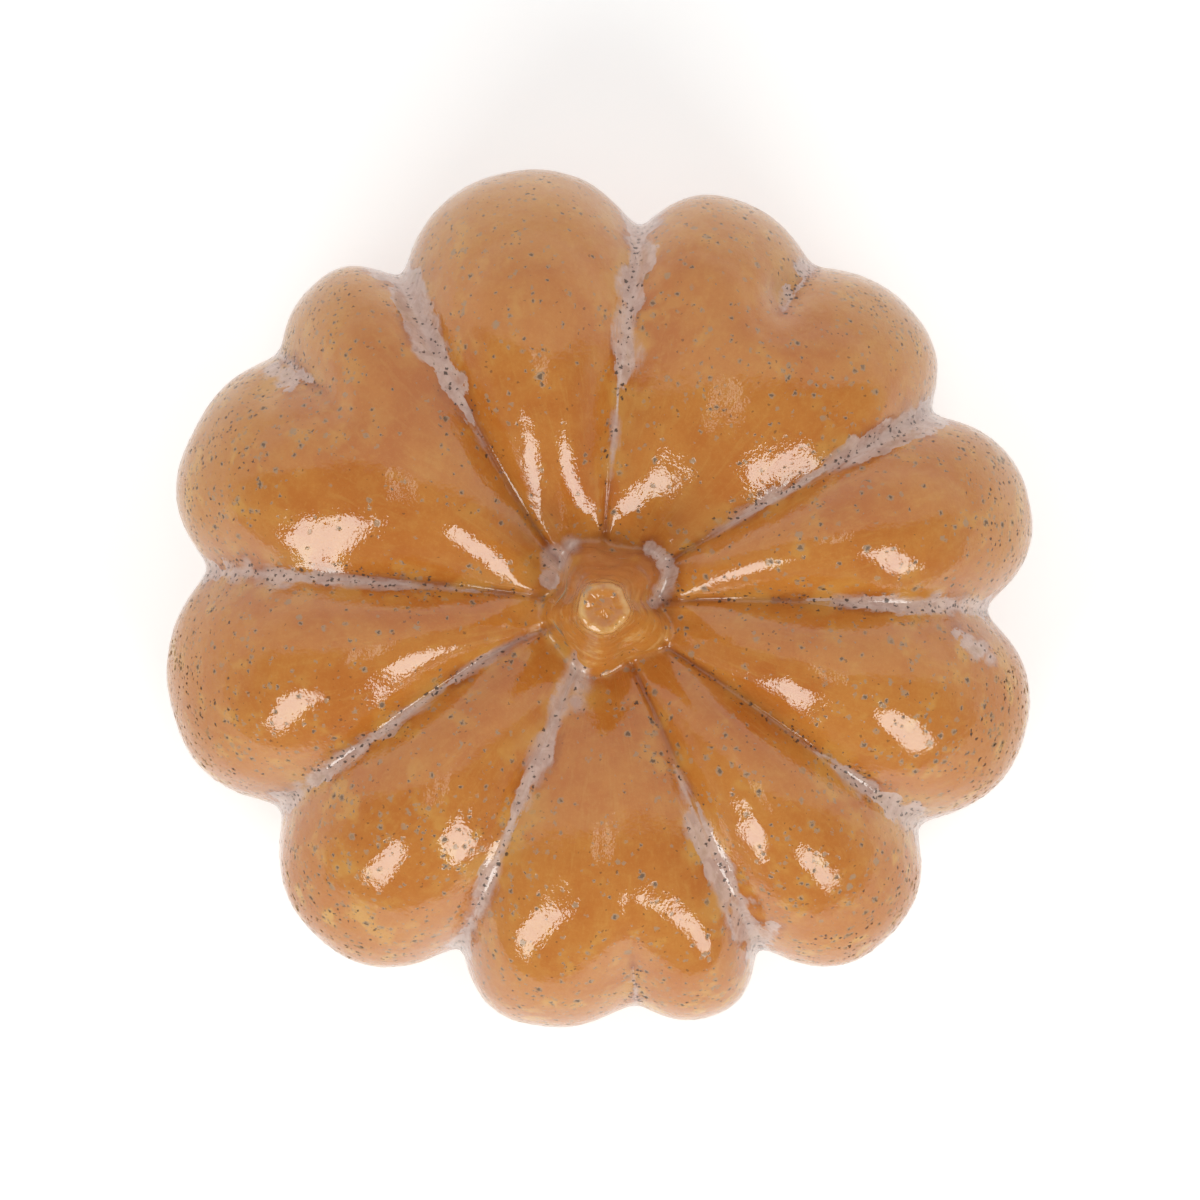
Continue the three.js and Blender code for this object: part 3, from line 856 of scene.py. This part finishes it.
def pool_up(s, colour):
    """Opaque and lilac pools, drawn out along the creases, crisp in places and feathered in others, over
    the dark line at the bottom of the creases: painted shade there, and glaze lying deep."""
    # Dark line at each crease bottom: painted shade, and glaze lying deep
    colour = s.blend(s.times(s.crease_line, 0.62), colour, DEEP_GLAZE_AND_SHADE)
    pulled = s.times(s.minus(s.strands, 0.5), s.ramp(s.out, 26 * MM, 50 * MM, 0.0, 5.4))
    swollen = s.times(s.minus(s.blots, 0.5), 2.9)
    depth = s.plus(s.pool, s.plus(swollen, s.times(s.centred(FRAYING), 1.2), pulled))
    feather = s.ramp(s.noise(*FEATHERS), 0.4, 0.62, 0.25, 1.5)
    s.pooled = s.ramp(s.over(depth, feather), -1.0, 1.0)
    sides = s.noise(*SIDES)
    deep = s.times(s.ramp(depth, -2.6, -0.05), s.ramp(sides, 0.44, 0.64, 0.0, 0.6))
    colour = s.blend(deep, colour, DEEP_GLAZE_AND_SHADE)
    light = s.times(s.ramp(depth, -8.0, -0.5), s.ramp(sides, 0.52, 0.36, 0.0, 0.6))
    colour = s.blend(light, colour, OCHRE)
    shaded = s.blend(s.ramp(s.blots, 0.4, 0.64), POOL_LILAC, POOL_SHADE)
    shaded = s.blend(s.ramp(s.strands, 0.52, 0.74, 0.0, 0.45), shaded, SPECK_GREY)
    cover = s.times(s.pooled, s.ramp(s.strands, 0.3, 0.45, 0.62, 0.86))
    return s.blend(cover, colour, shaded)


def prick(s, colour):
    """Pinholes, crowded in the creases and on the steep flanks."""
    beside = s.times(s.grit, s.plus(1.0, s.times(s.steep, 1.6)))
    across = s.add("ShaderNodeMath", {0: s.x}, operation="ABSOLUTE").outputs[0]
    s.flanks = s.times(s.steep, s.ramp(across, 20 * MM, 78 * MM, 0.06, 0.34))
    crowd = s.times(s.plus(beside, s.times(s.pooled, 0.16), s.flanks), s.crowding)
    s.pinned, _ = s.specks(crowd, s.ragged, *PINHOLES)
    return s.blend(s.times(s.pinned, 0.86), colour, SPECK_DARK)


def wipe_foot(s, colour):
    """The foot, wiped bare below a dark line where the glaze ends."""
    height = s.plus(s.z, s.times(s.centred(WIPING), 3.2 * MM), -FOOT_Z * MM)
    s.bare = s.ramp(height, LINE_HEIGHT * MM, BARE_HEIGHT * MM)
    colour = s.blend(s.ramp(height, LINE_TOP * MM, LINE_HEIGHT * MM, 0.0, 0.8), colour, GLAZE_LINE)
    return s.blend(s.bare, colour, s.blend(s.ramp(s.fine, 0.55, 0.7), BARE_CLAY, CLAY_GROG))


def glaze_shader(name):
    """Translucent amber glaze over coarse clay, opaque where it pooled, with specks, pinholes and a ripple."""
    s = Glaze(name)
    colour = ground(s)
    for step in (brush_stem, mottle, speckle, pool_up, prick, wipe_foot):
        colour = step(s, colour)
    # Relief: the ripple of thick glaze, and pits at specks and pinholes
    ripple = s.plus(s.noise(*RIPPLE), s.noise(*BROAD_RIPPLE))
    pits = s.plus(s.times(s.ring, 0.35), s.most(s.core, s.pinned))
    normal = s.bump(s.minus(ripple, s.times(pits, 1.3)), 0.05)
    rough = s.plus(0.03, s.plus(s.times(pits, 0.3), s.times(s.bare, 0.75)), clamp=True)
    # It shines least where it ran thin in front, round specks and pinholes, and on the flanks
    dry = s.plus(s.times(s.thin, s.ramp(s.y, 70 * MM, -20 * MM)),
                 s.times(s.most(s.ring, s.pinned), 0.8), s.times(s.flanks, 1.6))
    gloss = s.minus(0.5, s.times(dry, 0.24))
    return s.finish({"Base Color": colour, "Roughness": rough, "IOR": GLAZE_INDEX,
                     "Specular IOR Level": gloss, "Normal": normal})


def clay_shader(name):
    """Bare fired stoneware: buff, gritty and matt."""
    s = Shader(name)
    grain = s.noise(0.8, 4, 0.7, 1)
    clouds = s.noise(12, 3, 0.6, 2)
    colour = s.blend(s.ramp(clouds, 0.35, 0.7), BARE_CLAY, BROWN_CLAY)
    grog, chances = s.cells(1.6, s.shifted(0.6, 0.5))
    spots = s.times(s.ramp(grog, 0.36, 0.2), s.less(chances[0], 0.35))
    colour = s.blend(s.times(spots, 0.7), colour, CLAY_GROG)
    normal = s.bump(s.plus(grain, s.times(spots, 0.4)), 0.2)
    return s.finish({"Base Color": colour, "Roughness": 0.9, "Normal": normal})


def felt_shader(name):
    """Pressed wool felt, a tangle of short fibres."""
    s = Shader(name)
    fibres = s.noise(0.35, 5, 0.75, 1, 2.0)
    colour = s.blend(s.ramp(fibres, 0.35, 0.7), FELT_DARK, FELT_PALE)
    colour = s.blend(s.ramp(s.noise(3, 2, 0.5, 2), 0.4, 0.7, 0.0, 0.4), colour, FELT_STAIN)
    normal = s.bump(fibres, 0.25)
    return s.finish({"Base Color": colour, "Roughness": 0.95, "Sheen Weight": 0.4, "Normal": normal})


# Pieces


def dress(piece, slot, *nodes):
    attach(piece, "root")
    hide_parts(*nodes)


def ring_row(radius, height, centre, station):
    return around(np.full(len(COLUMNS["across"]), radius), column_angle(np.float64(station)), height, centre)


def make_shells(glaze, clay):
    """The two halves of the body. They share the row at the widest line and its normals."""
    stations, rows, normals, climb = outer_skin()
    fields = {**pool_field(stations, rows), "stem": climb}
    seam = int(np.argmax(stations == 2))

    vent_top = ring_row(VENT_RADIUS, SEAT_Z, AXIS, 0)
    vent_bottom = ring_row(VENT_RADIUS, SEAT_Z - WALL, AXIS, 0)
    inner_up = face_rows(np.linspace(0, 2, 2 * INNER_STEPS + 1), INSIDE)
    upper = np.concatenate([inner_up[::-1], vent_bottom[None], vent_top[None], rows[: seam + 1]])
    hidden = len(inner_up) + 2
    picks = [1] * hidden + [0] * seam + [1]
    smooth_rows = [True] * (len(inner_up) - 1) + [False] * 3 + [True] * seam + [False]
    fill = np.zeros((hidden, rows.shape[1]))
    shell = make_mesh(
        "upper_shell_glazed", upper, True, [glaze, clay], picks, smooth_rows,
        {key: np.concatenate([fill, field[: seam + 1]]) for key, field in fields.items()},
        np.concatenate([np.zeros((hidden, rows.shape[1], 3)), normals[: seam + 1]]),
    )
    dress(shell, "glaze", "upper_shell")

    inner_down = face_rows(np.linspace(2, 3, INNER_STEPS + 1), INSIDE)
    profile = [
        (RECESS_RADIUS, FOOT_Z),
        (RECESS_RADIUS - RECESS_LIP[0], FOOT_Z + RECESS_LIP[1]),
        (RECESS_RADIUS - RECESS_DRAFT, RECESS_Z),
        (DRAIN_RADIUS + DRAIN_CHAMFER, RECESS_Z),
        (DRAIN_RADIUS, RECESS_Z + DRAIN_CHAMFER),
        (DRAIN_RADIUS, FLOOR_Z),
    ]
    under = np.stack([ring_row(radius, height, np.zeros(2), 3) for radius, height in profile])
    belly = rows[seam:]
    lower = np.concatenate([belly, under, inner_down[::-1]])
    glazed, tail = len(belly) - 1, len(lower) - len(belly)
    picks = [0] * glazed + [1] * (tail + 1)
    smooth_rows = [True] * glazed + [False] * (len(under) + 1) + [True] * (len(inner_down) - 1) + [False]
    fill = np.zeros((tail, rows.shape[1]))
    shell = make_mesh(
        "lower_shell_glazed", lower, True, [glaze, clay], picks, smooth_rows,
        {key: np.concatenate([field[seam:], fill]) for key, field in fields.items()},
        np.concatenate([normals[seam:], np.zeros((tail, rows.shape[1], 3))]),
    )
    dress(shell, "glaze", "lower_shell")


STEM_COLUMNS = 320
STEM_ROWS = 150
EDGE_ROWS = 9
DISH_ROWS = 30
STEM_SINK = 0.35
DISH_DEPTH = 0.9
DISH_NUB = 0.5
# Unevenness of the stem: height, length of wave and seed
STEM_BEND = (0.9, 12, 50)
BRUSH_MARKS = (0.08, 4.5, 51, 40)  # and how many waves
FLANK_LUMPS = (0.25, 9, 53)
FINE_LUMPS = (0.05, 5, 55)
EDGE_LUMPS = (0.2, 4, 56)
DISH_LUMPS = (0.08, 3, 54)
MARKS_ROUND = 2.6  # radius of the cylinder that the brush marks are laid on
MARKS_TALL = 9  # and its height
STEM_POOL_FALL = 0.35  # how fast the pools round the stem shrink up its flank, from 3 mm above the seat


def make_stem(glaze):
    """The stem: a brushed, fluted flank with a round rim and a dish in its cut end."""
    angle = np.linspace(0, TURN, STEM_COLUMNS, endpoint=False)[None, :]
    height = np.linspace(0, 1, STEM_ROWS)[:, None]
    flank_z = mix(SEAT_Z, STEM_TOP_Z - STEM_EDGE, height)
    radius = stem_radius(angle, height) - STEM_SINK
    place = around(radius, angle, flank_z)
    strokes = cylinder(angle, MARKS_ROUND, height * MARKS_TALL + uneven(place, STEM_BEND))
    brushed = uneven(strokes, BRUSH_MARKS) * smooth(height, 0, 0.2)
    lumps = uneven(place, FLANK_LUMPS) * (1 - height) + uneven(place, FINE_LUMPS)
    radius = radius + np.clip(brushed + lumps, -0.9, STEM_SINK)
    flank = around(radius, angle, flank_z)
    turn = np.linspace(0, RIGHT_ANGLE, EDGE_ROWS)[1:, None]
    edge_radius = radius[-1:] - STEM_EDGE * (1 - np.cos(turn))
    edge = around(edge_radius, angle, STEM_TOP_Z - STEM_SINK - STEM_EDGE * (1 - np.sin(turn)))
    edge[..., 2] += (uneven(edge, EDGE_LUMPS) * np.sin(turn)).clip(-1, STEM_SINK)
    share = np.linspace(0, 1, DISH_ROWS)[1:-1, None]
    dish_radius = edge_radius[-1:] * (1 - share)
    dip = DISH_DEPTH * smooth(share, 0, 0.45) - DISH_NUB * smooth(share, 0.45, 1.1)
    dish = around(dish_radius, angle, mix(edge[-1:, :, 2], edge[-1, :, 2].mean(), share) - dip)
    dish[..., 2] += uneven(dish, DISH_LUMPS) * smooth(share, 0, 0.3)
    rows = np.concatenate([dish[::-1], edge[::-1], flank[::-1]])
    bands = len(rows) - 1
    shrink = np.clip((rows[..., 2] - SEAT_Z - 3) * STEM_POOL_FALL, 0, None)
    pool = add_patches(np.full(shrink.shape, NO_POOL), rows, STEM_PATCHES, shrink)
    fields = {"pool": pool, "stem": np.ones(pool.shape)}
    stem = make_mesh("stem_glazed", rows, False, [glaze], [0] * bands, [True] * bands, fields)
    dress(stem, "stem_glaze", "stem")


PAD_COUNT = 4
PAD_SEGMENTS = 72
PAD_ROUNDING = 0.5
FUZZ = (0.05, 1.6)  # height and length of wave


def make_pads(felt):
    """Felt discs, a little furry and pressed out at the rim."""
    angle = np.linspace(0, TURN, PAD_SEGMENTS, endpoint=False)[None, :]
    for number in range(1, PAD_COUNT + 1):
        node = f"felt_pad_{number}"
        low, high = box_mm(node)
        centre, radius = (low + high)[:2] / 2, (high[0] - low[0]) / 2
        # Share of the radius, and height in half thicknesses. The upper half mirrors the lower one.
        under = [(0.35, 0), (0.7, 0), (1 - PAD_ROUNDING / radius, 0), (0.985, 0.25), (0.995, 0.6)]
        shares, lifts = np.array(under + [(share, 2 - lift) for share, lift in under[::-1]]).T[..., None]
        rows = around(radius * shares, angle, low[2] + lifts * (high[2] - low[2]) / 2, centre)
        fuzz = uneven(rows, (*FUZZ, 60 + number))[..., None]
        outward = rows[..., :2] - centre
        rows[..., :2] -= outward / np.linalg.norm(outward, axis=-1, keepdims=True) * np.abs(fuzz)
        bands = len(rows) - 1
        pad = make_mesh(f"{node}_felt", rows[::-1], False, [felt], [0] * bands, [True] * bands)
        dress(pad, "felt", node)


# The stage: a pale floor, two tall soft boxes, two dim panels beside the camera and a bright far side

FLOOR_SIZE = 8.0
LAMPS_AWAY = 1.3
# Each lamp: degrees off the vertical, turn about it, width and height in metres, and radiance
LAMPS = [
    (57, 232, 0.43, 0.70, 6.7),
    (57, 308, 0.43, 0.70, 6.7),
    (5.5, 0, 0.46, 0.10, 2.1),
    (5.5, 180, 0.46, 0.10, 2.1),
]
LAMP_COLOUR = (0.94, 1.0, 0.98)
# The studio's light overhead and round the horizon, and the directions between which it changes, in shares of
# a sphere's radius: towards +Y, and up
FAR_LIGHT = 0.92
NEAR_LIGHT = 0.26
FAR_HORIZON = 1.25
NEAR_HORIZON = 0.4
OVERHEAD_BAND = (0.11, 0.22)
HORIZON_BAND = (-0.6, 0.6)
RAISED_BAND = (0.0, 0.55)
WHITE = (1, 1, 1, 1)
FLOOR_COLOUR = (0.93, 0.93, 0.93, 1)
FLOOR_LIFT = 0.36


def make_floor():
    """Pale paper, lifted a little where it is looked at or mirrored."""
    mesh = bpy.data.meshes.new("floor")
    half = FLOOR_SIZE / 2
    corners = [(-half, -half, 0), (half, -half, 0), (half, half, 0), (-half, half, 0)]
    mesh.from_pydata(corners, [], [(0, 1, 2, 3)])
    s = Shader("floor_paper")
    path = s.add("ShaderNodeLightPath").outputs
    seen = s.most(path["Is Camera Ray"], path["Is Glossy Ray"], path["Is Transmission Ray"])
    mesh.materials.append(s.finish({
        "Base Color": FLOOR_COLOUR, "Roughness": 0.9, "Specular IOR Level": 0.0,
        "Emission Color": WHITE, "Emission Strength": s.times(seen, FLOOR_LIFT),
    }))
    put("floor", mesh)


def make_lights():
    for number, (tilt, turn, wide, tall, radiance) in enumerate(LAMPS, 1):
        tilt, turn = math.radians(tilt), math.radians(turn)
        light = bpy.data.lights.new(f"lamp_{number}", "AREA")
        light.shape = "RECTANGLE"
        light.size, light.size_y = wide, tall
        light.energy = radiance * math.pi * wide * tall
        light.color = LAMP_COLOUR
        lamp = put(light.name, light)
        direction = math.sin(tilt) * math.cos(turn), math.sin(tilt) * math.sin(turn), math.cos(tilt)
        lamp.location = [LAMPS_AWAY * part for part in direction]
        lamp.rotation_euler = (tilt, 0, turn + RIGHT_ANGLE)


def make_world():
    """Bright overhead on the +Y side and round the horizon, dim on the -Y side."""
    world = bpy.data.worlds.new("studio")
    bpy.context.scene.world = world
    world.use_nodes = True
    nodes = Nodes(world.node_tree)
    direction = nodes.add("ShaderNodeTexCoord").outputs["Generated"]
    _, y, z = nodes.add("ShaderNodeSeparateXYZ", {"Vector": direction}).outputs
    overhead = nodes.ramp(y, *OVERHEAD_BAND, NEAR_LIGHT, FAR_LIGHT)
    horizon = nodes.ramp(y, *HORIZON_BAND, NEAR_HORIZON, FAR_HORIZON)
    raised = nodes.ramp(z, *RAISED_BAND)
    level = nodes.add("ShaderNodeMix", {0: raised, 2: horizon, 3: overhead}).outputs[0]
    background = nodes.add("ShaderNodeBackground", {"Color": WHITE, "Strength": level})
    nodes.tree.links.new(background.outputs[0], nodes.add("ShaderNodeOutputWorld").inputs["Surface"])


PHOTO_WIDTH = 276.8  # what the photograph takes in at the widest line, in millimetres
CAMERA_AWAY = 1100  # from the widest line
SENSOR_WIDTH = 36
CLIPPING = (0.05, 20)  # in metres


def make_camera():
    camera = bpy.data.cameras.new("camera")
    camera.sensor_width = SENSOR_WIDTH
    camera.lens = SENSOR_WIDTH * CAMERA_AWAY / PHOTO_WIDTH
    camera.clip_start, camera.clip_end = CLIPPING
    seat = put("camera", camera)
    seat.location = (0, 0, (SEAM_Z + CAMERA_AWAY) * MM)
    bpy.context.scene.camera = seat


make_shells(glaze_shader("body_glaze"), clay_shader("bare_clay"))
make_stem(glaze_shader("stem_glaze"))
make_pads(felt_shader("wool_felt"))
make_floor()
make_lights()
make_world()
make_camera()
bpy.context.scene.view_settings.view_transform = "Standard"
